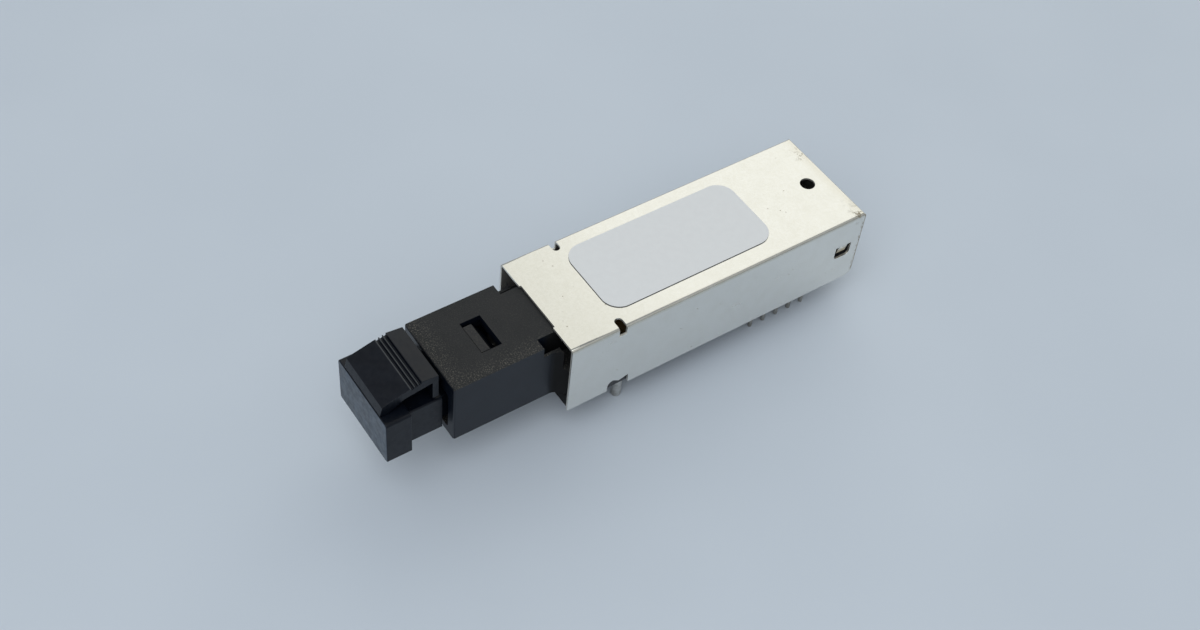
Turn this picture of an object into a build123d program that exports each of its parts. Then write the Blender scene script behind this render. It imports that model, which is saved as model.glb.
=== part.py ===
"""Small optical transceiver module for a circuit board, with a process plug in its duplex fibre port.

A plated sheet-metal cover closes over a moulded carrier that holds the circuit board, the optical
subassemblies and the pins. A black moulded port stands out of the cover's mouth. The process plug fills
the port, and its sprung latch arm hooks into the window in the port's top wall.

Frame: millimetres. The origin is midway between the two solder posts, on the face of the board that the
module is soldered to. +Y runs from the port to the rear, +X is to the right of someone facing the port,
and +Z is up, away from the board.
"""

from build123d import *
import os
from math import atan2, degrees, hypot, sqrt

os.makedirs("parts", exist_ok=True)

# --- Cover: one folded sheet, open underneath and at the front ---
cover_width = 13.3
cover_length = 37.4
cover_height = 9.45
sheet = 0.25
bend_radius = 0.4
post_setback = 7.4
cover_front = -post_setback
cover_rear = cover_front + cover_length
inner_half_width = cover_width / 2 - sheet
inner_height = cover_height - sheet

# --- Pins and posts, on the footprint's 1.778 grid ---
row_spacing = 10.16
pin_pitch = 1.778
pins_per_row = 5
pin_radius = 0.23
pin_shank_width = 0.46
pin_tip = -3.4
pin_top = 3.2
first_pin = 10 * pin_pitch
pin_row_centre = first_pin + (pins_per_row - 1) * pin_pitch / 2
post_radius = 0.535
post_shank_radius = 0.75
post_tip = -3.75

# --- Port: the moulded nose in front of the cover and its flange inside the cover's mouth ---
nose_length = 12.15
nose_front = cover_front - nose_length
nose_width = 9.5
nose_bottom = 1.25
nose_top = 9.15
optical_axis = 4.6
port_width = 7.3
port_floor = 2.25
port_roof = 7.3
port_end = -9.2
flange_front = cover_front + 0.2
flange_rear = -5.6
flange_width = 12.6
flange_top = 9.1

# --- Latch window and the channel that the plug's tongue runs in ---
window_width = 4.2
window_front = -14.91
window_rear = -12.61
channel_width = 4.7
channel_roof = 8.45

# --- Process plug ---
cap_front = -26.83
cap_rear = -24.1
cap_width = 9.4
cap_bottom = 2.65
cap_top = 8.46
plug_body_rear = -20.08
plug_body_width = 7.0
plug_body_bottom = 2.4
plug_body_top = 7.15
arm_width = 6.9
root_y = -26.25
root_radius = 0.4

# --- Carrier and board inside the cover ---
carrier_front = -5.5
carrier_rear = cover_rear - sheet - 0.1
carrier_width = 12.6
carrier_floor = 0.9
board_front = 9.4
board_rear = 25.95
board_width = 12.2
board_underside = 1.65
board_thickness = 1.0
board_top = board_underside + board_thickness

# --- Optical subassemblies, one for each fibre ---
fibre_spacing = 0.75
guide_pin_spacing = 2.6
guide_pin_radius = 0.35
ferrule_front = -11.6
ferrule_shoulder = -6.2
ferrule_rear = -4.6
barrel_x = 3.15
snout_front = 0.2
barrel_front = 1.6
barrel_rear = 7.0
barrel_radius = 2.45


def at_y(y):
    """Vertical plane across the module at y, X to the right and Z up; it extrudes towards the front."""
    return Plane.XZ.offset(-y)


# =====================================================================================================
# Metal cover
# =====================================================================================================
edge_slot_width = 0.9
edge_slot_y = -1.375
edge_slot_reach = 1.39
edge_slot_foot = 8.3
notch_front = -2.54
notch_rear = 0.08
tongue_y = 27.76
tongue_width = 1.2
tongue_foot = 4.4
tongue_lean = 0.28
side_window_width = 2.1
side_window_foot = 3.85
side_window_head = 5.6
side_window_rounding = 0.5
vent_y = 27.2
vent_radius = 0.83
mouth_relief_width = 6.2
mouth_relief_depth = 0.2
seam = 0.12
rear_corner_radius = 0.9

with BuildPart() as metal_cover:
    # The outside of the folded box, rounded where the sheet bends down from the top.
    with BuildSketch(Plane.XY):
        with Locations((0, (cover_front + cover_rear) / 2)):
            Rectangle(cover_width, cover_length)
    extrude(amount=cover_height)
    fillet(metal_cover.faces().sort_by(Axis.Z)[-1].edges().sort_by(Axis.Y)[1:], bend_radius)
    # The inside, open underneath and at the front.
    with BuildSketch(Plane.XY):
        with Locations((0, (cover_front + cover_rear) / 2 - sheet)):
            Rectangle(2 * inner_half_width, cover_length)
    extrude(amount=inner_height, mode=Mode.SUBTRACT)
    ceiling = metal_cover.faces().filter_by(Axis.Z).sort_by(Axis.Z)[-2]
    fillet(ceiling.edges().sort_by(Axis.Y)[1:], bend_radius - sheet)
    # A seam at each rear corner parts the rear flap from the side walls.
    with BuildSketch(Plane.XY):
        with Locations(
            (-inner_half_width + seam / 2, cover_rear), (inner_half_width - seam / 2, cover_rear)
        ):
            Rectangle(seam, 3 * sheet)
    extrude(amount=cover_height - 2 * bend_radius, mode=Mode.SUBTRACT)
    # The lower rear corner of each side wall is rounded.
    low_edges = metal_cover.edges().filter_by(Axis.X).filter_by_position(Axis.Z, -0.01, 0.01)
    corner_edges = low_edges.filter_by_position(Axis.Y, cover_rear - 0.01, cover_rear + 0.01)
    fillet(corner_edges.filter_by(lambda edge: edge.length < 2 * sheet), rear_corner_radius)
    # A round-ended slot crosses each bend near the front.
    with BuildSketch(Plane.XY.offset(edge_slot_foot)):
        with Locations((-cover_width / 2, edge_slot_y), (cover_width / 2, edge_slot_y)):
            SlotOverall(2 * edge_slot_reach, edge_slot_width)
    extrude(amount=cover_height, mode=Mode.SUBTRACT)
    # A notch in each lower edge clears the solder post: a rounded lobe, a dip and a sharp rear corner.
    with BuildSketch(Plane.YZ):
        with BuildLine():
            front_side = Line((notch_front, -sheet), (notch_front, 0.75))
            lobe = ThreePointArc(front_side @ 1, (-2.33, 1.2), (-1.85, 1.38))
            Polyline(lobe @ 1, (-1.15, 0.95), (0.0, 1.3), (notch_rear, -sheet), front_side @ 0)
        make_face()
    extrude(amount=cover_width, both=True, mode=Mode.SUBTRACT)
    # A window in each side near the rear, around a tongue that leans in to hold the carrier.
    with BuildSketch(Plane.YZ):
        with Locations((tongue_y, (side_window_foot + side_window_head) / 2)):
            side_window = Rectangle(side_window_width, side_window_head - side_window_foot)
        fillet(side_window.vertices().sort_by(Axis.Y)[:2], side_window_rounding)
    extrude(amount=cover_width, both=True, mode=Mode.SUBTRACT)
    with BuildSketch(at_y(tongue_y + tongue_width / 2)):
        with BuildLine():
            outer_face = cover_width / 2
            tongue_root = side_window_head + 0.1
            Polyline(
                (outer_face, tongue_root),
                (outer_face - sheet, tongue_root),
                (outer_face - sheet - tongue_lean, tongue_foot),
                (outer_face - tongue_lean, tongue_foot),
                close=True,
            )
        make_face()
        mirror(about=Plane.YZ)
    extrude(amount=tongue_width)
    # A round vent hole in the top, and the shallow relief in the middle of the front edge.
    with Locations((0, vent_y, cover_height)):
        Hole(vent_radius, depth=2 * sheet)
    with BuildSketch(Plane.XY.offset(cover_height)):
        with Locations((0, cover_front)):
            Rectangle(mouth_relief_width, 2 * mouth_relief_depth)
    extrude(amount=-2 * sheet, mode=Mode.SUBTRACT)
metal_cover.part.label = "metal_cover"
export_step(metal_cover.part, "parts/metal_cover.step")

# =====================================================================================================
# Label: thin rectangle with rounded corners on the cover's top
# =====================================================================================================
label_front = -1.28
label_length = 20.7
label_width = 9.4
label_x = -0.2
label_corner_radius = 2.0
label_thickness = 0.1

with BuildPart() as label:
    with BuildSketch(Plane.XY.offset(cover_height)):
        with Locations((label_x, label_front + label_length / 2)):
            RectangleRounded(label_width, label_length, label_corner_radius)
    extrude(amount=label_thickness)
label.part.label = "label"
export_step(label.part, "parts/label.step")

# =====================================================================================================
# Port housing: the black nose, the flange that closes the cover's mouth and the ferrule's seat
# =====================================================================================================
cove_radius = 1.25
flange_foot = 0.05
nose_bevel = 0.2
nose_edge_rounding = 0.22
port_corner_radius = 0.4
window_depth = 1.2
channel_overrun = 0.3
pocket_inner = 3.4
pocket_front = -9.42
pocket_floor = 5.5
side_rail = 0.3
side_rail_top = 7.85
seat_width = 8.8
seat_top = 8.4
seat_rear = -2.4
ferrule_width = 4.4
ferrule_height = 2.45
shoulder_width = 5.8
shoulder_height = 3.4
ferrule_play = 0.05

with BuildPart() as port_housing:
    # Plan of the nose and flange, with a hollow cove where each side of the nose meets the flange.
    with BuildSketch(Plane.XY.offset(nose_bottom)):
        with BuildLine():
            half_nose = nose_width / 2
            cove_start = flange_front - cove_radius
            front_edge = Line((0, nose_front), (half_nose, nose_front))
            nose_side = Line(front_edge @ 1, (half_nose, cove_start))
            cove = RadiusArc(nose_side @ 1, (half_nose + cove_radius, flange_front), cove_radius)
            Polyline(
                cove @ 1,
                (flange_width / 2, flange_front),
                (flange_width / 2, flange_rear),
                (0, flange_rear),
            )
            mirror(about=Plane.YZ)
        make_face()
    extrude(amount=flange_top - nose_bottom)
    # The nose's own top stands a little higher than the flange.
    with BuildSketch(Plane.XY.offset(flange_top)):
        with Locations((0, (nose_front + cover_front) / 2)):
            Rectangle(nose_width, nose_length)
    extrude(amount=nose_top - flange_top)
    # The flange reaches down to the carrier's level.
    with BuildSketch(Plane.XY.offset(flange_foot)):
        with Locations((0, (flange_front + flange_rear) / 2)):
            Rectangle(flange_width, flange_rear - flange_front)
    extrude(amount=nose_bottom - flange_foot)
    # The nose's lower side edges are bevelled and its front edges are eased.
    nose_low = port_housing.edges().filter_by(Axis.Y).group_by(Axis.Z)
    low_sides = nose_low[1].filter_by(lambda edge: edge.length > nose_length / 2)
    chamfer(low_sides, nose_bevel)
    front_face = port_housing.faces().filter_by(Axis.Y).sort_by(Axis.Y)[0]
    fillet(front_face.edges(), nose_edge_rounding)
    # The block behind the flange that the ferrule sits in.
    with BuildSketch(at_y(seat_rear)):
        with Locations((0, (carrier_floor + seat_top) / 2)):
            Rectangle(seat_width, seat_top - carrier_floor)
    extrude(amount=seat_rear - flange_rear)
    # The port's opening, and the channel above it for the plug's tongue.
    with BuildSketch(at_y(port_end)):
        with Locations((0, (port_floor + port_roof) / 2)):
            RectangleRounded(port_width, port_roof - port_floor, port_corner_radius)
    extrude(amount=port_end - nose_front, mode=Mode.SUBTRACT)
    with BuildSketch(at_y(window_rear + channel_overrun)):
        with Locations((0, (channel_roof + optical_axis) / 2)):
            Rectangle(channel_width, channel_roof - optical_axis)
    extrude(amount=window_rear + channel_overrun - nose_front, mode=Mode.SUBTRACT)
    # The latch window through the nose's top.
    with BuildSketch(Plane.XY.offset(nose_top)):
        with Locations((0, (window_front + window_rear) / 2)):
            Rectangle(window_width, window_rear - window_front)
    extrude(amount=-window_depth, mode=Mode.SUBTRACT)
    # A pocket in each rear corner of the nose's top leaves a thin, lower rail along the side.
    for side in (-1, 1):
        with BuildSketch(Plane.XY.offset(pocket_floor)):
            rail_inside = nose_width / 2 - side_rail
            with Locations((side * (pocket_inner + rail_inside) / 2, (pocket_front + flange_rear) / 2)):
                Rectangle(rail_inside - pocket_inner, flange_rear - pocket_front + 0.01)
            with Locations((side * (rail_inside + flange_width / 2) / 2, (cover_front + flange_rear) / 2)):
                Rectangle(flange_width / 2 - rail_inside + 0.01, flange_rear - cover_front + 0.01)
        extrude(amount=nose_top, mode=Mode.SUBTRACT)
        with BuildSketch(Plane.XY.offset(side_rail_top)):
            with Locations((side * flange_width / 2, (pocket_front + flange_rear) / 2)):
                Rectangle(flange_width - 2 * pocket_inner, flange_rear - pocket_front)
        extrude(amount=nose_top, mode=Mode.SUBTRACT)
    # The ferrule's passage and the seat for its shoulder.
    with BuildSketch(at_y(seat_rear)):
        with Locations((0, optical_axis)):
            Rectangle(ferrule_width + 2 * ferrule_play, ferrule_height + 2 * ferrule_play)
    extrude(amount=seat_rear - port_end + 0.1, mode=Mode.SUBTRACT)
    with BuildSketch(at_y(seat_rear)):
        with Locations((0, optical_axis)):
            Rectangle(shoulder_width + 2 * ferrule_play, shoulder_height + 2 * ferrule_play)
    extrude(amount=seat_rear - ferrule_shoulder, mode=Mode.SUBTRACT)
port_housing.part.label = "port_housing"
export_step(port_housing.part, "parts/port_housing.step")

# =====================================================================================================
# Base carrier: moulded floor with rails for the board, cradles for the barrels and rear corner posts
# =====================================================================================================
pin_centre = (0, pin_row_centre)
rail_width = 0.5
cross_rail_width = 0.8
cradle_top = 3.6
cradle_length = 4.0
cradle_rear = 6.2
cradle_margin = 0.2
cradle_play = 0.03
corner_post_front = 26.2
corner_post_width = 1.1
corner_post_top = 6.4
tongue_recess_depth = 0.45
tongue_recess_margin = 0.4

with BuildPart() as base_carrier:
    with BuildSketch(Plane.XY):
        with Locations((0, (carrier_front + carrier_rear) / 2)):
            Rectangle(carrier_width, carrier_rear - carrier_front)
    extrude(amount=carrier_floor)
    # Side rails and a cross rail at each end carry the board.
    with BuildSketch(Plane.XY.offset(carrier_floor)):
        for side in (-1, 1):
            with Locations((side * (carrier_width - rail_width) / 2, (board_front + board_rear) / 2)):
                Rectangle(rail_width, board_rear - board_front)
        with Locations((0, board_front + cross_rail_width / 2), (0, board_rear - cross_rail_width / 2)):
            Rectangle(carrier_width, cross_rail_width)
    extrude(amount=board_underside - carrier_floor)
    # A block with two round cradles holds the barrels of the optical subassemblies.
    with BuildSketch(at_y(cradle_rear)):
        with Locations((0, (carrier_floor + cradle_top) / 2)):
            Rectangle(carrier_width - 2 * cradle_margin, cradle_top - carrier_floor)
        with Locations((-barrel_x, optical_axis), (barrel_x, optical_axis)):
            Circle(barrel_radius + cradle_play, mode=Mode.SUBTRACT)
    extrude(amount=cradle_length)
    # The rear corner posts stand between the board's end and the rear wall.
    with BuildSketch(Plane.XY.offset(carrier_floor)):
        for side in (-1, 1):
            post_x = side * (carrier_width - corner_post_width) / 2
            with Locations((post_x, (corner_post_front + carrier_rear) / 2)):
                Rectangle(corner_post_width, carrier_rear - corner_post_front)
    extrude(amount=corner_post_top - carrier_floor)
    # Each corner post has a recess that the cover's tongue leans into.
    recess_height = side_window_head - side_window_foot + 2 * tongue_recess_margin
    for side in (-1, 1):
        with BuildSketch(Plane.YZ.offset(side * carrier_width / 2)):
            with Locations((tongue_y, (side_window_foot + side_window_head) / 2)):
                Rectangle(side_window_width, recess_height)
        extrude(amount=-side * tongue_recess_depth, mode=Mode.SUBTRACT)
    # Holes for the pins and the solder posts.
    with BuildSketch(Plane.XY):
        with Locations(pin_centre):
            with GridLocations(row_spacing, pin_pitch, 2, pins_per_row):
                Rectangle(pin_shank_width, pin_shank_width)
        with GridLocations(row_spacing, 0, 2, 1):
            Circle(post_shank_radius)
    extrude(amount=carrier_floor, mode=Mode.SUBTRACT)
base_carrier.part.label = "base_carrier"
export_step(base_carrier.part, "parts/base_carrier.step")

# =====================================================================================================
# Solder posts: turned posts with a shank in the carrier's floor, a head above it and an eased tip
# =====================================================================================================
post_head_radius = 1.0
post_head_top = 1.7
post_tip_chamfer = 0.18
post_head_rounding = 0.2

with BuildPart() as solder_posts:
    with BuildSketch(Plane.XY.offset(post_tip)):
        with GridLocations(row_spacing, 0, 2, 1):
            Circle(post_radius)
    extrude(amount=-post_tip)
    chamfer(solder_posts.edges().group_by(Axis.Z)[0], post_tip_chamfer)
    with BuildSketch(Plane.XY):
        with GridLocations(row_spacing, 0, 2, 1):
            Circle(post_shank_radius)
    extrude(amount=carrier_floor)
    with BuildSketch(Plane.XY.offset(carrier_floor)):
        with GridLocations(row_spacing, 0, 2, 1):
            Circle(post_head_radius)
    extrude(amount=post_head_top - carrier_floor)
    fillet(solder_posts.edges().group_by(Axis.Z)[-1], post_head_rounding)
solder_posts.part.label = "solder_posts"
export_step(solder_posts.part, "parts/solder_posts.step")

# =====================================================================================================
# Signal pins: two rows of five pins, round below the module and square from the carrier up
# =====================================================================================================
pin_end_chamfer = 0.08

with BuildPart() as signal_pins:
    with BuildSketch(Plane.XY.offset(pin_tip)):
        with Locations(pin_centre):
            with GridLocations(row_spacing, pin_pitch, 2, pins_per_row):
                Circle(pin_radius)
    extrude(amount=-pin_tip)
    with BuildSketch(Plane.XY):
        with Locations(pin_centre):
            with GridLocations(row_spacing, pin_pitch, 2, pins_per_row):
                Rectangle(pin_shank_width, pin_shank_width)
    extrude(amount=pin_top)
    chamfer(signal_pins.edges().group_by(Axis.Z)[0], pin_end_chamfer)
    chamfer(signal_pins.edges().group_by(Axis.Z)[-1], pin_end_chamfer)
signal_pins.part.label = "signal_pins"
export_step(signal_pins.part, "parts/signal_pins.step")

# =====================================================================================================
# Pin solder joints: a cone of solder around each pin on the board
# =====================================================================================================
solder_radius = 0.52
solder_height = 0.4
solder_taper = 32

with BuildPart() as pin_solder_joints:
    with BuildSketch(Plane.XY.offset(board_top)):
        with Locations(pin_centre):
            with GridLocations(row_spacing, pin_pitch, 2, pins_per_row):
                Circle(solder_radius)
    extrude(amount=solder_height, taper=solder_taper)
    with BuildSketch(Plane.XY.offset(board_top)):
        with Locations(pin_centre):
            with GridLocations(row_spacing, pin_pitch, 2, pins_per_row):
                Rectangle(pin_shank_width, pin_shank_width)
    extrude(amount=2 * solder_height, mode=Mode.SUBTRACT)
pin_solder_joints.part.label = "pin_solder_joints"
export_step(pin_solder_joints.part, "parts/pin_solder_joints.step")

# =====================================================================================================
# Circuit board
# =====================================================================================================
pin_hole_radius = 0.36
board_corner_radius = 0.4

with BuildPart() as circuit_board:
    with BuildSketch(Plane.XY.offset(board_underside)):
        with Locations((0, (board_front + board_rear) / 2)):
            RectangleRounded(board_width, board_rear - board_front, board_corner_radius)
        with Locations(pin_centre):
            with GridLocations(row_spacing, pin_pitch, 2, pins_per_row):
                Circle(pin_hole_radius, mode=Mode.SUBTRACT)
    extrude(amount=board_thickness)
circuit_board.part.label = "circuit_board"
export_step(circuit_board.part, "parts/circuit_board.step")

# =====================================================================================================
# Integrated circuits: leadless packages with contact pads along their edges
# =====================================================================================================
chip_size = 4.0
chip_height = 0.9
chip_edge_chamfer = 0.12
chip_pad = 0.28
chip_pad_height = 0.2
dimple_radius = 0.25
dimple_depth = 0.1
driver_centre = (3.1, 14.0)
quantizer_centre = (-3.0, 14.0)


def chip_package(centre, size, pads_per_side):
    """Leadless package of the given side length, with pads under all four edges."""
    pad_pitch = size / (pads_per_side + 1)
    with BuildPart() as package:
        with BuildSketch(Plane.XY.offset(board_top)):
            with Locations(centre):
                Rectangle(size, size)
        extrude(amount=chip_height)
        chamfer(package.edges().group_by(Axis.Z)[-1], chip_edge_chamfer)
        # A dimple marks the first contact.
        with Locations((centre[0] - size / 3, centre[1] + size / 3, board_top + chip_height)):
            Hole(dimple_radius, depth=dimple_depth)
        with BuildSketch(Plane.XY.offset(board_top)):
            with Locations(centre):
                with GridLocations(size, pad_pitch, 2, pads_per_side):
                    Rectangle(chip_pad, pad_pitch / 2)
                with GridLocations(pad_pitch, size, pads_per_side, 2):
                    Rectangle(pad_pitch / 2, chip_pad)
        extrude(amount=chip_pad_height)
    return package.part


driver_ic = chip_package(driver_centre, chip_size, pads_per_side=5)
driver_ic.label = "driver_ic"
export_step(driver_ic, "parts/driver_ic.step")

quantizer_ic = chip_package(quantizer_centre, chip_size, pads_per_side=6)
quantizer_ic.label = "quantizer_ic"
export_step(quantizer_ic, "parts/quantizer_ic.step")

# =====================================================================================================
# Receiver shield: thin box over the quantizer, open underneath, with low gates for the traces
# =====================================================================================================
shield_width = 5.4
shield_length = 5.4
shield_height = 2.2
shield_wall = 0.2
shield_rounding = 0.3
gate_width = 2.4
gate_height = 0.6
shield_vent_pitch = 2.0
shield_vent_radius = 0.35

with BuildPart() as receiver_shield:
    with BuildSketch(Plane.XY.offset(board_top)):
        with Locations(quantizer_centre):
            Rectangle(shield_width, shield_length)
    extrude(amount=shield_height)
    fillet(receiver_shield.faces().sort_by(Axis.Z)[-1].edges(), shield_rounding)
    with BuildSketch(Plane.XY.offset(board_top)):
        with Locations(quantizer_centre):
            Rectangle(shield_width - 2 * shield_wall, shield_length - 2 * shield_wall)
    extrude(amount=shield_height - shield_wall, mode=Mode.SUBTRACT)
    # Low gates in the front and rear walls let the traces through.
    with BuildSketch(Plane.XY.offset(board_top)):
        with Locations(quantizer_centre):
            Rectangle(gate_width, shield_length + 1)
    extrude(amount=gate_height, mode=Mode.SUBTRACT)
    # Four vent holes in the top.
    with BuildSketch(Plane.XY.offset(board_top + shield_height)):
        with Locations(quantizer_centre):
            with GridLocations(shield_vent_pitch, shield_vent_pitch, 2, 2):
                Circle(shield_vent_radius)
    extrude(amount=-2 * shield_wall, mode=Mode.SUBTRACT)
receiver_shield.part.label = "receiver_shield"
export_step(receiver_shield.part, "parts/receiver_shield.step")

# =====================================================================================================
# Chip parts on the board: blocks with raised end caps
# =====================================================================================================


def chip_parts(centres, length, width, height, cap_length):
    """One block with a slightly larger cap at each end for every centre, lying along Y."""
    cap_growth = 0.06
    with BuildPart() as parts:
        for centre in centres:
            with BuildSketch(Plane.XY.offset(board_top)):
                with Locations(centre):
                    Rectangle(width, length - cap_length)
            extrude(amount=height)
            with BuildSketch(Plane.XY.offset(board_top)):
                with Locations(centre):
                    with GridLocations(0, length - cap_length, 1, 2):
                        Rectangle(width + cap_growth, cap_length)
            extrude(amount=height + cap_growth)
    return parts.part


capacitor_centres = [(x, y) for x in (-3.2, -1.9, 1.9, 3.2) for y in (18.3, 20.0)]
chip_capacitors = chip_parts(capacitor_centres, length=1.0, width=0.5, height=0.5, cap_length=0.25)
chip_capacitors.label = "chip_capacitors"
export_step(chip_capacitors, "parts/chip_capacitors.step")

resistor_centres = [(0.33, y) for y in (11.4, 12.7, 14.0, 15.3, 16.6)]
resistor_centres += [(x, 25.2) for x in (-0.8, 0, 0.8)]
chip_resistors = chip_parts(resistor_centres, length=1.0, width=0.5, height=0.32, cap_length=0.2)
chip_resistors.label = "chip_resistors"
export_step(chip_resistors, "parts/chip_resistors.step")

bypass_centres = [(-2.6, 23.6), (2.6, 23.6)]
bypass_capacitors = chip_parts(bypass_centres, length=3.2, width=1.6, height=1.5, cap_length=0.5)
bypass_capacitors.label = "bypass_capacitors"
export_step(bypass_capacitors, "parts/bypass_capacitors.step")

# Filter inductors: a square foot and head with a round wound waist between them.
inductor_centres = [(0, 20.2), (0, 23.4)]
inductor_size = 2.0
inductor_corner = 0.3
inductor_height = 1.5
inductor_end = 0.35
waist_radius = 0.85

with BuildPart() as filter_inductors:
    for end_foot in (board_top, board_top + inductor_height - inductor_end):
        with BuildSketch(Plane.XY.offset(end_foot)):
            with Locations(*inductor_centres):
                RectangleRounded(inductor_size, inductor_size, inductor_corner)
        extrude(amount=inductor_end)
    with BuildSketch(Plane.XY.offset(board_top)):
        with Locations(*inductor_centres):
            Circle(waist_radius)
    extrude(amount=inductor_height)
filter_inductors.part.label = "filter_inductors"
export_step(filter_inductors.part, "parts/filter_inductors.step")

# =====================================================================================================
# Ferrule block, guide pins, retainer and fibre stubs
# =====================================================================================================
fibre_radius = 0.1
ferrule_chamfer = 0.12
glue_window_y = -8.2
glue_window_width = 1.9
glue_window_length = 1.4
glue_window_depth = 0.9
guide_pin_reach = 1.8
guide_pin_rounding = 0.25

with BuildPart() as ferrule_block:
    with BuildSketch(at_y(ferrule_rear)):
        with Locations((0, optical_axis)):
            Rectangle(ferrule_width, ferrule_height)
    extrude(amount=ferrule_rear - ferrule_front)
    chamfer(ferrule_block.faces().sort_by(Axis.Y)[0].edges(), ferrule_chamfer)
    with BuildSketch(at_y(ferrule_rear)):
        with Locations((0, optical_axis)):
            Rectangle(shoulder_width, shoulder_height)
    extrude(amount=ferrule_rear - ferrule_shoulder)
    # The window on top, where the fibres are glued in.
    with BuildSketch(Plane.XY.offset(optical_axis + ferrule_height / 2)):
        with Locations((0, glue_window_y)):
            Rectangle(glue_window_width, glue_window_length)
    extrude(amount=-glue_window_depth, mode=Mode.SUBTRACT)
    # Holes for the guide pins and the fibres.
    with BuildSketch(at_y(ferrule_rear)):
        with Locations((0, optical_axis)):
            with GridLocations(guide_pin_spacing, 0, 2, 1):
                Circle(guide_pin_radius)
            with GridLocations(fibre_spacing, 0, 2, 1):
                Circle(fibre_radius)
    extrude(amount=ferrule_rear - ferrule_front + 0.1, mode=Mode.SUBTRACT)
ferrule_block.part.label = "ferrule_block"
export_step(ferrule_block.part, "parts/ferrule_block.step")

with BuildPart() as guide_pins:
    with BuildSketch(at_y(ferrule_rear)):
        with Locations((0, optical_axis)):
            with GridLocations(guide_pin_spacing, 0, 2, 1):
                Circle(guide_pin_radius)
    extrude(amount=ferrule_rear - ferrule_front + guide_pin_reach)
    fillet(guide_pins.edges().group_by(Axis.Y)[0], guide_pin_rounding)
guide_pins.part.label = "guide_pins"
export_step(guide_pins.part, "parts/guide_pins.step")

# The retainer is a plate behind the ferrule's shoulder, with two spring legs along the seat's walls.
retainer_sheet = 0.4
retainer_leg_thickness = 0.3
retainer_leg_height = 2.4
retainer_leg_end = seat_rear - 0.1
fibre_opening_width = 2.2
fibre_opening_height = 1.2

with BuildPart() as ferrule_retainer:
    with BuildSketch(at_y(ferrule_rear + retainer_sheet)):
        with Locations((0, optical_axis)):
            Rectangle(shoulder_width, shoulder_height)
            Rectangle(fibre_opening_width, fibre_opening_height, mode=Mode.SUBTRACT)
    extrude(amount=retainer_sheet)
    with BuildSketch(at_y(retainer_leg_end)):
        with Locations((0, optical_axis)):
            with GridLocations(shoulder_width - retainer_leg_thickness, 0, 2, 1):
                Rectangle(retainer_leg_thickness, retainer_leg_height)
    extrude(amount=retainer_leg_end - ferrule_rear)
ferrule_retainer.part.label = "ferrule_retainer"
export_step(ferrule_retainer.part, "parts/ferrule_retainer.step")

# Each fibre leaves the ferrule straight, fans out in an S of two equal arcs and ends in its barrel.
fan_start = ferrule_rear + 0.6
fan_end = snout_front
fan_offset = barrel_x - fibre_spacing / 2
fan_angle = 2 * degrees(atan2(fan_offset, fan_end - fan_start))
fan_radius = hypot(fan_offset, fan_end - fan_start) ** 2 / (4 * fan_offset)
fibre_end = 2.3

with BuildPart() as fibre_stubs:
    for side in (-1, 1):
        with BuildLine(Plane.XY.offset(optical_axis)):
            fibre_x = side * fibre_spacing / 2
            first = Line((fibre_x, ferrule_front), (fibre_x, fan_start))
            out = JernArc(first @ 1, (0, 1), fan_radius, -side * fan_angle)
            back = JernArc(out @ 1, out % 1, fan_radius, side * fan_angle)
            Line(back @ 1, (side * barrel_x, fibre_end))
        with BuildSketch(Plane(origin=(fibre_x, ferrule_front, optical_axis), z_dir=(0, 1, 0))):
            Circle(fibre_radius)
        sweep()
fibre_stubs.part.label = "fibre_stubs"
export_step(fibre_stubs.part, "parts/fibre_stubs.step")

# =====================================================================================================
# Optical subassemblies: a moulded barrel with a snout for the fibre, a lens and a header with its chip
# =====================================================================================================
snout_radius = 1.0
barrel_chamfer = 0.15
lens_radius = 0.7
lens_y = 3.3
lens_cell_radius = 0.75
lens_cell_front = 2.5
header_radius = 2.05
header_front = 5.6
header_rear = 6.6
header_room = 0.9
pedestal_radius = 0.6
pedestal_height = 0.5
die_thickness = 0.15
lead_radius = 0.2
lead_bend_radius = 0.5
lead_landing = 10.2


def subassembly_housing(side):
    """Turned barrel on the fibre's axis, hollow for lens and header."""
    axis = Axis((side * barrel_x, 0, optical_axis), (0, 1, 0))
    section = Plane(origin=(side * barrel_x, 0, optical_axis), x_dir=(1, 0, 0), z_dir=(0, 0, 1))
    with BuildPart() as housing:
        with BuildSketch(section):
            with BuildLine():
                Polyline(
                    (fibre_radius, snout_front),
                    (snout_radius, snout_front),
                    (snout_radius, barrel_front),
                    (barrel_radius, barrel_front),
                    (barrel_radius, barrel_rear),
                    (header_radius, barrel_rear),
                    (header_radius, header_front - header_room),
                    (lens_cell_radius, header_front - header_room),
                    (lens_cell_radius, lens_cell_front),
                    (fibre_radius, lens_cell_front),
                    close=True,
                )
            make_face()
        revolve(axis=axis)
        rear_rim = housing.faces().sort_by(Axis.Y)[-1].edges().sort_by(SortBy.RADIUS)[-1]
        chamfer(rear_rim, barrel_chamfer)
    return housing.part


def header_with_chip(side, die_size):
    """Round header with a pedestal that carries the square chip on the fibre's axis."""
    centre = (side * barrel_x, optical_axis)
    with BuildPart() as header:
        with BuildSketch(at_y(header_rear)):
            with Locations(centre):
                Circle(header_radius)
        extrude(amount=header_rear - header_front)
        with BuildSketch(at_y(header_front)):
            with Locations(centre):
                Circle(pedestal_radius)
        extrude(amount=pedestal_height)
        with BuildSketch(at_y(header_front - pedestal_height)):
            with Locations(centre):
                Rectangle(die_size, die_size)
        extrude(amount=die_thickness)
    return header.part


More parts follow.
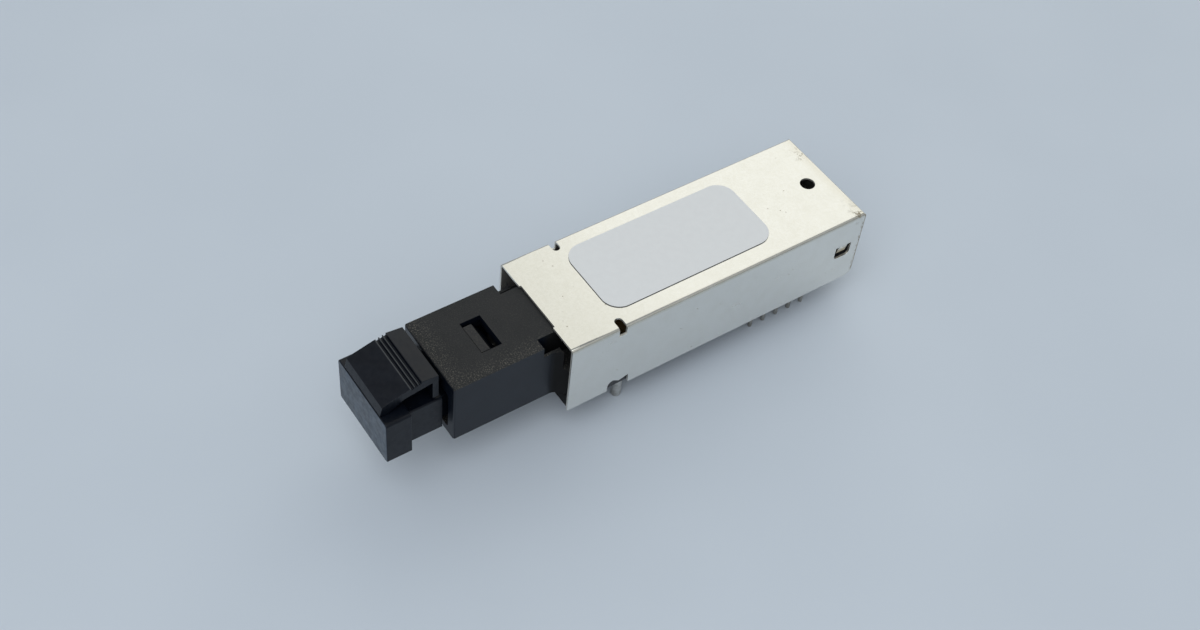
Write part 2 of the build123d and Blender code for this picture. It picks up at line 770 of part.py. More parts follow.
def bent_leads(side, offsets):
    """Round leads from the header's back at the given offsets from its axis, bent down to the board."""
    with BuildPart() as leads:
        for offset_x, offset_z in offsets:
            start = (side * barrel_x + offset_x, header_rear, optical_axis + offset_z)
            corner = (start[0], lead_landing + offset_z, start[2])
            foot = (start[0], lead_landing + offset_z, board_top)
            with BuildLine():
                FilletPolyline(start, corner, foot, radius=lead_bend_radius)
            with BuildSketch(Plane(origin=start, z_dir=(0, 1, 0))):
                Circle(lead_radius)
            sweep()
    return leads.part


emitter_housing = subassembly_housing(1)
emitter_housing.label = "emitter_housing"
export_step(emitter_housing, "parts/emitter_housing.step")

detector_housing = subassembly_housing(-1)
detector_housing.label = "detector_housing"
export_step(detector_housing, "parts/detector_housing.step")

light_emitter = header_with_chip(1, 0.35)
light_emitter.label = "light_emitter"
export_step(light_emitter, "parts/light_emitter.step")

photodiode = header_with_chip(-1, 0.5)
photodiode.label = "photodiode"
export_step(photodiode, "parts/photodiode.step")

emitter_leads = bent_leads(1, [(-1.0, -0.5), (0.0, 1.0), (1.0, -0.5)])
emitter_leads.label = "emitter_leads"
export_step(emitter_leads, "parts/emitter_leads.step")

detector_leads = bent_leads(-1, [(-1.2, -0.4), (-0.5, 0.7), (0.5, 0.7), (1.2, -0.4)])
detector_leads.label = "detector_leads"
export_step(detector_leads, "parts/detector_leads.step")

with BuildPart() as coupling_lenses:
    with Locations((-barrel_x, lens_y, optical_axis), (barrel_x, lens_y, optical_axis)):
        Sphere(lens_radius)
coupling_lenses.part.label = "coupling_lenses"
export_step(coupling_lenses.part, "parts/coupling_lenses.step")

# =====================================================================================================
# Process plug: cap outside the port, body, neck and the block that fills the port
# =====================================================================================================
cap_side_rounding = 0.3
cap_front_rounding = 0.12
body_rounding = 0.2
join_overlap = 0.5
neck_width = 5.5
neck_height = 3.4
neck_rear = -18.8
filler_width = 7.1
filler_bottom = 2.35
filler_top = 6.65
filler_chamfer = 0.35
plug_end = -12.2
pin_hollow_width = 4.0
pin_hollow_height = 1.6
pin_hollow_depth = 2.0
root_play = 0.02

with BuildPart() as plug_body:
    # The cap.
    with BuildSketch(at_y(cap_rear)):
        with Locations((0, (cap_bottom + cap_top) / 2)):
            Rectangle(cap_width, cap_top - cap_bottom)
    extrude(amount=cap_rear - cap_front)
    fillet(plug_body.edges().filter_by(Axis.Y), cap_side_rounding)
    fillet(plug_body.faces().sort_by(Axis.Y)[0].edges(), cap_front_rounding)
    # The body behind it, the narrower neck and the block inside the port.
    with BuildSketch(at_y(plug_body_rear)):
        with Locations((0, (plug_body_bottom + plug_body_top) / 2)):
            RectangleRounded(plug_body_width, plug_body_top - plug_body_bottom, body_rounding)
    extrude(amount=plug_body_rear - cap_rear + join_overlap)
    with BuildSketch(at_y(neck_rear)):
        with Locations((0, optical_axis)):
            Rectangle(neck_width, neck_height)
    extrude(amount=neck_rear - plug_body_rear + join_overlap)
    with BuildSketch(at_y(plug_end)):
        with Locations((0, (filler_bottom + filler_top) / 2)):
            Rectangle(filler_width, filler_top - filler_bottom)
    extrude(amount=plug_end - neck_rear)
    chamfer(plug_body.faces().sort_by(Axis.Y)[-1].edges(), filler_chamfer)
    # A hollow in the end clears the guide pins.
    with BuildSketch(at_y(plug_end)):
        with Locations((0, optical_axis)):
            Rectangle(pin_hollow_width, pin_hollow_height)
    extrude(amount=pin_hollow_depth, mode=Mode.SUBTRACT)
    # A round groove across the cap's top front takes the root of the latch arm.
    with BuildSketch(Plane.YZ.offset(-arm_width / 2 - root_play)):
        with Locations((root_y, cap_top)):
            Circle(root_radius + root_play)
    extrude(amount=arm_width + 2 * root_play, mode=Mode.SUBTRACT)
plug_body.part.label = "plug_body"
export_step(plug_body.part, "parts/plug_body.step")

# =====================================================================================================
# Latch arm: sprung arm rooted on the cap, with a ramp, three finger grooves, a leg, a tongue and a hook
# =====================================================================================================
arm_rear = -20.45
leg_thickness = 0.66
leg_foot = 7.69
ridge_first = -23.5
ridge_pitch = 0.4
groove_count = 3
groove_radius = 0.14
groove_depth = 0.28
pad_foot = 10.62
ridge_step = 0.1
ridge_width = ridge_pitch - 2 * groove_radius
root_lift = 0.08
tongue_left = -1.6
tongue_right = 2.0
tongue_thickness = 0.58
hook_front = -14.86
hook_top = 9.1
hook_crest = 0.95
hook_tip = -13.3
hook_tip_height = 0.35

with BuildPart() as plug_latch_arm:
    # Side profile of the arm: up from the root, along the ramp, up the level tops of the ridges across the
    # thumb pad, along the rear panel and down the leg.
    ridge_tops = []
    for ridge in range(groove_count + 1):
        ridge_y = ridge_first + ridge * ridge_pitch
        ridge_z = pad_foot + ridge * ridge_step
        ridge_tops += [(ridge_y, ridge_z), (ridge_y + ridge_width, ridge_z)]
    with BuildSketch(Plane.YZ.offset(-arm_width / 2)):
        with BuildLine():
            root_front = (root_y - root_radius, cap_top)
            root_rear = (root_y + sqrt(root_radius**2 - root_lift**2), cap_top + root_lift)
            Polyline(
                root_front,
                (root_y - root_radius - 0.12, cap_top + 0.18),
                (-26.5, 9.7),
                (-26.1, 9.93),
                *ridge_tops,
                (arm_rear, 10.7),
                (arm_rear, leg_foot),
                (arm_rear - leg_thickness, leg_foot),
                (arm_rear - leg_thickness, 9.98),
                (-24.15, 9.5),
                root_rear,
            )
            ThreePointArc(root_rear, (root_y, cap_top - root_radius), root_front)
        make_face()
    extrude(amount=arm_width)
    # Three round-bottomed grooves cross the thumb pad from side to side, with thin ridges between them.
    with BuildSketch(Plane.YZ.offset(-arm_width / 2)):
        for groove in range(groove_count):
            groove_y = ridge_first + groove * ridge_pitch + (ridge_width + ridge_pitch) / 2
            groove_floor = pad_foot + (groove + 0.5) * ridge_step - groove_depth
            with Locations((groove_y, groove_floor + groove_radius)):
                Circle(groove_radius)
                Rectangle(2 * groove_radius, groove_depth, align=(Align.CENTER, Align.MIN))
    extrude(amount=arm_width, mode=Mode.SUBTRACT)
    # The tongue runs from the leg into the port and ends in the hook, with a slope that leads it in.
    with BuildSketch(Plane.YZ.offset(tongue_left)):
        with BuildLine():
            Polyline(
                (arm_rear - leg_thickness / 2, leg_foot),
                (arm_rear - leg_thickness / 2, leg_foot + tongue_thickness),
                (hook_front, leg_foot + tongue_thickness),
                (hook_front, hook_top),
                (hook_front + hook_crest, hook_top),
                (hook_tip, leg_foot + hook_tip_height),
                (hook_tip, leg_foot),
                close=True,
            )
        make_face()
    extrude(amount=tongue_right - tongue_left)
plug_latch_arm.part.label = "plug_latch_arm"
export_step(plug_latch_arm.part, "parts/plug_latch_arm.step")
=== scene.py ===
"""Looks of the small optical transceiver module with a process plug in its port.

Metres throughout, in the CAD model's own frame: +Y from the port to the rear, +X to the right of someone
facing the port, +Z up from the board. Surface patterns are laid out in millimetres of that frame.
"""

import math

import bmesh
import bpy
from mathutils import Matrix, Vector


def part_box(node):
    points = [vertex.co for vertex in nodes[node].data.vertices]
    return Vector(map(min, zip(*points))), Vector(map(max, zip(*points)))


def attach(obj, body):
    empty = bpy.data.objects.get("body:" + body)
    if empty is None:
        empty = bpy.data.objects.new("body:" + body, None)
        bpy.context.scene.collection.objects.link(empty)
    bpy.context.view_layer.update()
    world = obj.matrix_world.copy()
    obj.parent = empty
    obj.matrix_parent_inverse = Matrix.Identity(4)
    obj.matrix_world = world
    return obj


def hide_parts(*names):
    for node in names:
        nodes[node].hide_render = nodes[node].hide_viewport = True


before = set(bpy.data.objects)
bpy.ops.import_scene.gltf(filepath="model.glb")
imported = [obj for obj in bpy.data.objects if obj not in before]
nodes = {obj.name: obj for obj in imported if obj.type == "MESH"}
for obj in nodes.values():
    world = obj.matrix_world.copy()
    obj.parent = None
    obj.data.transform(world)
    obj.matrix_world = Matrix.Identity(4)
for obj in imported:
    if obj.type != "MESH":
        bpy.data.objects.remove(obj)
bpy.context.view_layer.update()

MM = 0.001

# --- Places read from the frame ---
cover_low, cover_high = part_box("metal_cover")
port_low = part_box("port_housing")[0]
posts_low, posts_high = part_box("solder_posts")
pins_low, pins_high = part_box("signal_pins")
plug_low, plug_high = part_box("plug_body")
arm_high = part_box("plug_latch_arm")[1]


# =====================================================================================================
# Material building blocks
# =====================================================================================================
class Finish:
    """A Principled material whose patterns are laid out in millimetres of the part's frame."""

    def __init__(self, name, colour, roughness, metallic=0.0, **uniform):
        self.material = bpy.data.materials.new(name)
        self.material.use_nodes = True
        self.material.diffuse_color = (*colour, 1.0)
        self.tree = self.material.node_tree
        self.shader = self.tree.nodes["Principled BSDF"]
        self.set("Base Color", (*colour, 1.0))
        self.set("Roughness", roughness)
        self.set("Metallic", metallic)
        for socket, value in uniform.items():
            self.set(socket.replace("_", " "), value)
        place = self.tree.nodes.new("ShaderNodeTexCoord")
        scale = self.tree.nodes.new("ShaderNodeVectorMath")
        scale.operation = "SCALE"
        scale.inputs["Scale"].default_value = 1.0 / MM
        self.link(place.outputs["Object"], scale.inputs[0])
        self.place = scale.outputs["Vector"]
        split = self.tree.nodes.new("ShaderNodeSeparateXYZ")
        self.link(self.place, split.inputs[0])
        self.x, self.y, self.z = split.outputs
        self.height = None

    def link(self, source, socket):
        self.tree.links.new(source, socket)

    def set(self, socket, value):
        """Sets one of the shader's sockets, to a plain value or to a node's output."""
        if isinstance(value, bpy.types.NodeSocket):
            self.link(value, self.shader.inputs[socket])
        else:
            self.shader.inputs[socket].default_value = value

    def math(self, operation, *values, clamp=False):
        node = self.tree.nodes.new("ShaderNodeMath")
        node.operation = operation
        node.use_clamp = clamp
        for socket, value in zip(node.inputs, values):
            if isinstance(value, bpy.types.NodeSocket):
                self.link(value, socket)
            else:
                socket.default_value = value
        return node.outputs[0]

    def ramp(self, value, low, high, start=0.0, end=1.0):
        """Smooth step of value from start at low to end at high."""
        node = self.tree.nodes.new("ShaderNodeMapRange")
        node.interpolation_type = "SMOOTHSTEP"
        self.link(value, node.inputs["Value"])
        for socket, number in zip(("From Min", "From Max", "To Min", "To Max"), (low, high, start, end)):
            node.inputs[socket].default_value = number
        return node.outputs["Result"]

    def noise(self, size, detail=2.0, roughness=0.5, stretch=(1, 1, 1), offset=0.0):
        """Soft noise with features about size millimetres across, longer along an axis stretched over 1."""
        moved = self.tree.nodes.new("ShaderNodeMapping")
        moved.inputs["Location"].default_value = (offset, offset, offset)
        moved.inputs["Scale"].default_value = tuple(1.0 / (size * factor) for factor in stretch)
        self.link(self.place, moved.inputs["Vector"])
        node = self.tree.nodes.new("ShaderNodeTexNoise")
        node.inputs["Scale"].default_value = 1.0
        node.inputs["Detail"].default_value = detail
        node.inputs["Roughness"].default_value = roughness
        self.link(moved.outputs["Vector"], node.inputs["Vector"])
        return node.outputs["Fac"]

    def specks(self, spacing, radius):
        """Round specks of the given radius, one in each cell about spacing across."""
        moved = self.tree.nodes.new("ShaderNodeMapping")
        moved.inputs["Scale"].default_value = (1.0 / spacing,) * 3
        self.link(self.place, moved.inputs["Vector"])
        node = self.tree.nodes.new("ShaderNodeTexVoronoi")
        node.inputs["Scale"].default_value = 1.0
        self.link(moved.outputs["Vector"], node.inputs["Vector"])
        return self.ramp(node.outputs["Distance"], radius / spacing, 0.4 * radius / spacing)

    def near(self, axis, place, reach):
        """1 where the coordinate is at place, falling to 0 at reach from it."""
        return self.ramp(self.math("ABSOLUTE", self.math("SUBTRACT", axis, place)), reach, 0.0)

    def around(self, centre, reach):
        """1 at a point, falling to 0 at reach from it."""
        node = self.tree.nodes.new("ShaderNodeVectorMath")
        node.operation = "DISTANCE"
        self.link(self.place, node.inputs[0])
        node.inputs[1].default_value = centre
        return self.ramp(node.outputs["Value"], reach, 0.0)

    def around_either(self, centre, reach):
        """As around, for a point on the right and its mirror image on the left."""
        mirrored = (-centre[0], centre[1], centre[2])
        return self.math("MAXIMUM", self.around(centre, reach), self.around(mirrored, reach))

    def facing(self, axis):
        """How much the surface faces up the given axis, from -1 to 1."""
        normal = self.tree.nodes.new("ShaderNodeNewGeometry")
        split = self.tree.nodes.new("ShaderNodeSeparateXYZ")
        turned = self.tree.nodes.new("ShaderNodeVectorTransform")
        turned.vector_type = "NORMAL"
        turned.convert_from = "WORLD"
        turned.convert_to = "OBJECT"
        self.link(normal.outputs["Normal"], turned.inputs[0])
        self.link(turned.outputs[0], split.inputs[0])
        return split.outputs["XYZ".index(axis)]

    def blend(self, amount, first, second):
        """Colour between first and second, each a colour or a node's output."""
        node = self.tree.nodes.new("ShaderNodeMix")
        node.data_type = "RGBA"
        self.link(amount, node.inputs["Factor"])
        for socket, value in ((node.inputs[6], first), (node.inputs[7], second)):
            if isinstance(value, bpy.types.NodeSocket):
                self.link(value, socket)
            else:
                socket.default_value = (*value, 1.0)
        return node.outputs[2]

    def emboss(self, height, depth):
        """Adds relief: height is a pattern from 0 to 1, depth its size in millimetres."""
        node = self.tree.nodes.new("ShaderNodeBump")
        node.inputs["Strength"].default_value = 1.0
        node.inputs["Distance"].default_value = depth * MM
        self.link(height, node.inputs["Height"])
        if self.height is not None:
            self.link(self.height, node.inputs["Normal"])
        self.height = node.outputs["Normal"]
        self.set("Normal", self.height)


# =====================================================================================================
# Materials
# =====================================================================================================
def plated_sheet():
    """Bright tin-coloured plating on steel sheet, faintly warm, with handling marks."""
    finish = Finish("plated_sheet", (0.80, 0.79, 0.74), 0.16, metallic=1.0)
    rear = cover_high.y / MM
    right = cover_high.x / MM
    top = cover_high.z / MM
    front_shade_end = 7.0
    mottle = finish.noise(1.6, detail=4.0)
    tone = finish.blend(finish.ramp(mottle, 0.35, 0.7), (0.82, 0.81, 0.765), (0.80, 0.788, 0.738))
    # Brown rub marks near the rear corners, dark beads down the rear seams and a few specks all over.
    corner = finish.around((right - 0.3, rear - 0.5, top), 1.7)
    flank = finish.ramp(finish.math("ABSOLUTE", finish.facing("X")), 0.5, 0.9)
    beads = finish.math("MULTIPLY", finish.near(finish.y, rear - 0.03, 0.42), flank)
    seam_line = finish.math("MULTIPLY", finish.ramp(finish.y, rear - 0.16, rear - 0.06), flank)
    broken = finish.ramp(finish.noise(0.4, detail=5.0, roughness=0.7), 0.50, 0.60)
    spots = finish.math("MULTIPLY", finish.around((2.6 - right, rear - 0.7, top), 1.5), 0.6)
    stained = finish.math("MAXIMUM", finish.math("MAXIMUM", corner, spots), beads)
    worn = finish.math("MULTIPLY", stained, broken, clamp=True)
    worn = finish.math("MAXIMUM", worn, finish.math("MULTIPLY", seam_line, 0.7))
    specks = finish.math(
        "MULTIPLY", finish.specks(0.9, 0.10), finish.ramp(finish.noise(2.2, offset=7.0), 0.56, 0.62)
    )
    marks = finish.math("MAXIMUM", worn, finish.math("MULTIPLY", specks, 0.6))
    # The top alone is finely grained, and painted darker towards the front, where its reflection is dimmer.
    upward = finish.ramp(finish.facing("Z"), 0.5, 0.9)
    fine = finish.ramp(finish.noise(0.32, detail=3.0, roughness=0.6, offset=11.0), 0.35, 0.65)
    grained = finish.math("MULTIPLY", finish.math("MULTIPLY", fine, 0.30), upward)
    tone = finish.blend(grained, tone, (0.74, 0.72, 0.64))
    # Painted shade: the top's colour darkens towards the front for its dimmer reflection there.
    front_painted_shade = finish.math("MULTIPLY", finish.ramp(finish.y, front_shade_end, cover_low.y / MM), upward)
    tone = finish.blend(front_painted_shade, tone, finish.blend(fine, (0.705, 0.694, 0.642), (0.682, 0.670, 0.612)))
    # The rear top edge is duller, and the bends along the top are darker and browner, unevenly.
    dusk = finish.math("MULTIPLY", finish.near(finish.y, rear, 1.6), finish.near(finish.z, top, 0.3))
    tone = finish.blend(finish.math("MULTIPLY", dusk, 0.45), tone, (0.66, 0.62, 0.51))
    bend = finish.math(
        "MULTIPLY",
        finish.near(finish.math("ABSOLUTE", finish.x), right - 0.05, 0.42),
        finish.near(finish.z, top - 0.22, 0.42),
    )
    uneven = finish.ramp(finish.noise(1.2, detail=4.0, offset=2.0), 0.2, 0.6, 0.4, 1.0)
    bend_band = finish.math("MULTIPLY", bend, uneven)
    tone = finish.blend(finish.math("MULTIPLY", bend_band, 0.55), tone, (0.55, 0.50, 0.38))
    # A grey smudge lies on the top near the rear right corner.
    smudge = finish.math(
        "MULTIPLY",
        finish.around((right - 1.9, rear - 0.8, top), 1.5),
        finish.ramp(finish.noise(0.6, detail=3.0, offset=9.0), 0.5, 0.65),
    )
    tone = finish.blend(finish.math("MULTIPLY", smudge, 0.28), tone, (0.40, 0.40, 0.38))
    # The tongues behind the side windows are golden brown.
    tongue_x = right - 0.3
    tongue_y = rear - 2.24
    tongue_z = 4.9
    tongue = finish.math(
        "MULTIPLY",
        finish.near(finish.math("ABSOLUTE", finish.x), tongue_x, 0.28),
        finish.around_either((tongue_x, tongue_y, tongue_z), 2.0),
    )
    tone = finish.blend(tongue, tone, (0.50, 0.40, 0.24))
    finish.set("Base Color", finish.blend(marks, tone, (0.20, 0.155, 0.085)))
    # Faint scratches run from front to back.
    streaks = finish.noise(0.35, detail=3.0, stretch=(0.12, 9.0, 1.0), offset=3.0)
    scratches = finish.ramp(streaks, 0.66, 0.72)
    # Inside the folded sheet the plating is dull.
    inside = finish.ramp(finish.math("ABSOLUTE", finish.x), right - 0.02, right - 0.12)
    inside = finish.math("MULTIPLY", inside, finish.ramp(finish.z, top - 0.02, top - 0.12))
    inside = finish.math("MULTIPLY", inside, finish.ramp(finish.y, rear - 0.02, rear - 0.12))
    gloss = finish.ramp(mottle, 0.3, 0.75, 0.13, 0.20)
    gloss = finish.math("MULTIPLY_ADD", inside, 0.42, gloss)
    gloss = finish.math("ADD", gloss, finish.math("MULTIPLY", marks, 0.35))
    finish.set("Roughness", finish.math("ADD", gloss, finish.math("MULTIPLY", scratches, 0.10)))
    finish.set("Metallic", finish.ramp(marks, 0.0, 1.0, 1.0, 0.35))
    # The sheet is slightly wavy and finely grained.
    finish.emboss(finish.noise(7.0, detail=1.0), 0.022)
    finish.emboss(finish.noise(0.30, detail=3.0, offset=11.0), 0.0016)
    return finish.material


def label_film():
    """Pale grey satin polyester film; its cut edge is dark."""
    finish = Finish("label_film", (0.76, 0.77, 0.77), 0.42, Coat_Weight=0.15, Coat_Roughness=0.3)
    mottle = finish.noise(0.8, detail=4.0)
    face = finish.blend(finish.ramp(mottle, 0.3, 0.7), (0.752, 0.762, 0.765), (0.770, 0.780, 0.782))
    side = finish.ramp(finish.math("ABSOLUTE", finish.facing("Z")), 0.9, 0.6)
    finish.set("Base Color", finish.blend(side, face, (0.03, 0.03, 0.035)))
    finish.set("Roughness", finish.ramp(mottle, 0.3, 0.7, 0.38, 0.46))
    finish.emboss(finish.noise(0.15, detail=3.0), 0.0012)
    return finish.material


def black_moulding():
    """Charcoal glass-filled moulding: grainy on top, smoother on its sides, whose bluer colour is a painted
    reflection of the pale blue floor.
    """
    finish = Finish("black_moulding", (0.010, 0.010, 0.012), 0.45, Specular_IOR_Level=0.35)
    nose_right = 4.75
    cove_start = -8.9
    cove_end = -7.9
    top_side = finish.ramp(finish.facing("Z"), 0.5, 0.9)
    grain = finish.noise(0.12, detail=4.0, roughness=0.7)
    speckle = finish.ramp(grain, 0.52, 0.66)
    front_edge = finish.near(finish.y, port_low.y / MM, 3.0)
    right_edge = finish.near(finish.x, nose_right, 2.6)
    rubbed = finish.math("ADD", finish.math("MAXIMUM", front_edge, right_edge), 0.15, clamp=True)
    lit = finish.math("MULTIPLY", finish.math("MULTIPLY", speckle, rubbed), top_side)
    cloud = finish.ramp(finish.noise(2.5, detail=3.0), 0.3, 0.7)
    top_tone = finish.blend(cloud, (0.0080, 0.0090, 0.0102), (0.0120, 0.0126, 0.0138))
    # Painted reflection: the sides are coloured bluer, as the floor mirrored in them.
    side_painted_reflection = finish.blend(cloud, (0.0028, 0.0052, 0.0110), (0.0044, 0.0074, 0.0140))
    body = finish.blend(top_side, side_painted_reflection, top_tone)
    # The cove and the flange beside the cover's mouth are duller, and painted darker for the shade and dark
    # reflections there.
    not_top = finish.math("SUBTRACT", 1.0, top_side)
    recess_shade_and_dullness = finish.math("MULTIPLY", finish.ramp(finish.y, cove_start, cove_end), not_top)
    body = finish.blend(recess_shade_and_dullness, body, (0.0015, 0.0017, 0.0020))
    finish.set("Base Color", finish.blend(lit, body, (0.115, 0.107, 0.088)))
    smooth = finish.ramp(top_side, 0.0, 1.0, 0.33, 0.52)
    finish.set("Roughness", finish.math("MULTIPLY_ADD", recess_shade_and_dullness, 0.5, smooth))
    relief = finish.math("MULTIPLY", grain, finish.ramp(top_side, 0.0, 1.0, 0.2, 1.0))
    finish.emboss(relief, 0.03)
    return finish.material


def plug_moulding():
    """Satin blue-black moulding of the plug and its latch arm, smoother than the port's."""
    finish = Finish("plug_moulding", (0.004, 0.005, 0.009), 0.34, Specular_IOR_Level=0.30)
    cap_front = plug_low.y / MM
    cap_top = plug_high.z / MM
    hook_front = arm_high.y / MM - 1.7
    crest_y = -22.3
    crest_z = arm_high.z / MM
    ridge_climb = 0.25
    ridges_length = 1.2
    cloud = finish.ramp(finish.noise(2.0, detail=4.0), 0.3, 0.7)
    body = finish.blend(cloud, (0.0016, 0.0030, 0.0068), (0.0028, 0.0048, 0.0096))
    # The cap's front has a painted pale blue sheen, the floor's reflection, broken up by handling smudges;
    # the hook's top is as grainy as the port's.
    forward = finish.ramp(finish.facing("Y"), -0.6, -0.95)
    front_sheen_and_smudges = finish.math("MULTIPLY", forward, finish.near(finish.y, cap_front, 0.3))
    front_sheen_and_smudges = finish.math("MULTIPLY", front_sheen_and_smudges, finish.ramp(finish.z, cap_top + 0.05, cap_top - 0.1))
    smear = finish.noise(1.1, detail=5.0, roughness=0.6, stretch=(1.0, 1.0, 1.8), offset=4.0)
    smear = finish.ramp(smear, 0.3, 0.7, 0.5, 1.0)
    body = finish.blend(finish.math("MULTIPLY", front_sheen_and_smudges, smear), body, (0.058, 0.080, 0.110))
    past_leg = finish.ramp(finish.y, hook_front - 0.4, hook_front)
    hook = finish.math("MULTIPLY", past_leg, finish.ramp(finish.z, cap_top + 0.14, cap_top + 0.44))
    grain = finish.ramp(finish.noise(0.15, detail=3.0, roughness=0.7), 0.45, 0.66, 0.3, 1.0)
    body = finish.blend(finish.math("MULTIPLY", hook, grain), body, (0.030, 0.028, 0.025))
    # The thin ridges, which climb 1 in 4 to the crest of the thumb pad, have a painted highlight along
    # their tops.
    climb = finish.math("MULTIPLY_ADD", finish.y, ridge_climb, crest_z - ridge_climb * crest_y)
    ridge_top_highlight = finish.ramp(finish.math("SUBTRACT", finish.z, climb), -0.09, -0.05)
    ridges_start = crest_y - ridges_length
    across = finish.math(
        "MULTIPLY",
        finish.ramp(finish.y, ridges_start - 0.04, ridges_start),
        finish.ramp(finish.y, crest_y - 0.05, crest_y - 0.10),
    )
    body = finish.blend(finish.math("MULTIPLY", ridge_top_highlight, across), body, (0.048, 0.052, 0.056))
    specks = finish.math(
        "MULTIPLY", finish.specks(0.9, 0.03), finish.ramp(finish.noise(2.4, offset=5.0), 0.5, 0.6)
    )
    finish.set("Base Color", finish.blend(specks, body, (0.10, 0.10, 0.10)))
    finish.set("Roughness", finish.ramp(finish.noise(0.5, detail=4.0), 0.3, 0.7, 0.28, 0.42))
    finish.emboss(finish.noise(0.11, detail=3.0), 0.004)
    return finish.material


def carrier_moulding():
    """Dark grey filled moulding of the carrier."""
    finish = Finish("carrier_moulding", (0.03, 0.03, 0.032), 0.5)
    cloud = finish.ramp(finish.noise(1.5, detail=4.0), 0.3, 0.7)
    finish.set("Base Color", finish.blend(cloud, (0.024, 0.024, 0.027), (0.038, 0.038, 0.041)))
    finish.set("Roughness", finish.ramp(finish.noise(0.4, detail=3.0), 0.3, 0.7, 0.42, 0.58))
    finish.emboss(finish.noise(0.14, detail=4.0), 0.008)
    return finish.material


def metal(name, colour, dull_colour, roughness, grain_size, relief):
    """Plated or bare metal with slight tarnish and a fine grain."""
    finish = Finish(name, colour, roughness, metallic=1.0)
    tarnish = finish.ramp(finish.noise(grain_size * 6, detail=4.0), 0.4, 0.7)
    finish.set("Base Color", finish.blend(tarnish, colour, dull_colour))
    finish.set("Roughness", finish.ramp(tarnish, 0.0, 1.0, roughness, roughness + 0.15))
    finish.emboss(finish.noise(grain_size, detail=3.0), relief)
    return finish.material


def solid(name, colour, second_colour, roughness, grain_size, relief, **uniform):
    """Non-metal with a slight variation of colour, gloss and relief."""
    finish = Finish(name, colour, roughness, **uniform)
    cloud = finish.ramp(finish.noise(grain_size * 5, detail=4.0), 0.35, 0.65)
    finish.set("Base Color", finish.blend(cloud, colour, second_colour))
    finish.set("Roughness", finish.ramp(cloud, 0.0, 1.0, roughness, roughness + 0.1))
    finish.emboss(finish.noise(grain_size, detail=3.0), relief)
    return finish.material


def board_laminate():
    """Green solder mask over glass cloth, with the weave just showing."""
    finish = Finish("board_laminate", (0.02, 0.13, 0.05), 0.35)
    weave = finish.math(
        "MULTIPLY",
        finish.math("SINE", finish.math("MULTIPLY", finish.x, 14.0)),
        finish.math("SINE", finish.math("MULTIPLY", finish.y, 14.0)),
    )
    weave = finish.ramp(weave, -1.0, 1.0)
    finish.set("Base Color", finish.blend(weave, (0.016, 0.11, 0.042), (0.024, 0.145, 0.058)))
    finish.set("Roughness", finish.ramp(finish.noise(0.8, detail=3.0), 0.3, 0.7, 0.28, 0.42))
    finish.emboss(weave, 0.004)
    return finish.material


def chip_body(name, colour, second_colour, cloud_size):
    """Body of a chip part, mottled between two colours."""
    finish = Finish(name, colour, 0.45)
    cloud = finish.ramp(finish.noise(cloud_size, detail=4.0), 0.35, 0.65)
    finish.set("Base Color", finish.blend(cloud, colour, second_colour))
    finish.set("Roughness", finish.ramp(cloud, 0.0, 1.0, 0.4, 0.55))
    finish.emboss(finish.noise(0.08, detail=3.0), 0.004)
    return finish.material


finishes = {
    "plated_sheet": plated_sheet(),
    "label_film": label_film(),
    "black_moulding": black_moulding(),
    "plug_moulding": plug_moulding(),
    "carrier_moulding": carrier_moulding(),
    "post_plating": metal("post_plating", (0.62, 0.61, 0.58), (0.45, 0.44, 0.41), 0.28, 0.12, 0.003),
    # Painted shade: the pins' plating is coloured darker than the posts', for the shadow under the module.
    "pin_plating": metal("pin_plating", (0.46, 0.44, 0.40), (0.32, 0.30, 0.26), 0.32, 0.10, 0.002),
    "solder": metal("solder", (0.70, 0.70, 0.71), (0.52, 0.52, 0.52), 0.22, 0.20, 0.004),
    "board_laminate": board_laminate(),
    "chip_package": solid("chip_package", (0.020, 0.020, 0.021), (0.032, 0.032, 0.033), 0.5, 0.10, 0.006),
    "shield_sheet": metal("shield_sheet", (0.72, 0.71, 0.66), (0.60, 0.58, 0.52), 0.22, 0.15, 0.002),
    "capacitor_ceramic": chip_body("capacitor_ceramic", (0.33, 0.22, 0.12), (0.40, 0.28, 0.17), 0.3),
    "resistor_body": chip_body("resistor_body", (0.025, 0.025, 0.03), (0.05, 0.05, 0.055), 0.3),
    "tantalum_body": chip_body("tantalum_body", (0.45, 0.28, 0.06), (0.50, 0.33, 0.09), 0.5),
    "ferrite": solid("ferrite", (0.05, 0.048, 0.045), (0.075, 0.07, 0.065), 0.6, 0.12, 0.008),
    "ferrule_moulding": solid(
        "ferrule_moulding", (0.035, 0.033, 0.03), (0.05, 0.047, 0.043), 0.4, 0.1, 0.003
    ),
    "polished_steel": metal("polished_steel", (0.62, 0.62, 0.62), (0.55, 0.55, 0.55), 0.1, 0.08, 0.0005),
    "spring_sheet": metal("spring_sheet", (0.60, 0.58, 0.54), (0.50, 0.48, 0.44), 0.25, 0.15, 0.002),
    "fibre_glass": solid(
        "fibre_glass", (0.70, 0.72, 0.70), (0.74, 0.76, 0.74), 0.1, 0.1, 0.0005, Transmission_Weight=0.6
    ),
    "barrel_moulding": solid("barrel_moulding", (0.30, 0.19, 0.08), (0.36, 0.24, 0.11), 0.35, 0.1, 0.003),
    "gold_header": metal("gold_header", (0.85, 0.62, 0.25), (0.70, 0.48, 0.18), 0.22, 0.1, 0.001),
    "lead_wire": metal("lead_wire", (0.66, 0.64, 0.58), (0.50, 0.47, 0.40), 0.28, 0.1, 0.002),
    "lens_glass": solid(
        "lens_glass", (0.80, 0.85, 0.85), (0.84, 0.88, 0.88), 0.03, 0.1, 0.0002, Transmission_Weight=0.9
    ),
}
for node in nodes.values():
    for material_slot in node.material_slots:
        material_slot.material = finishes[material_slot.material.name]


# =====================================================================================================
# Visible shells: the CAD shape, most with hard edges eased so that they catch the light
# =====================================================================================================
hard_edge = math.radians(32)
flat_joint = math.radians(0.3)
weld_distance = 1e-7


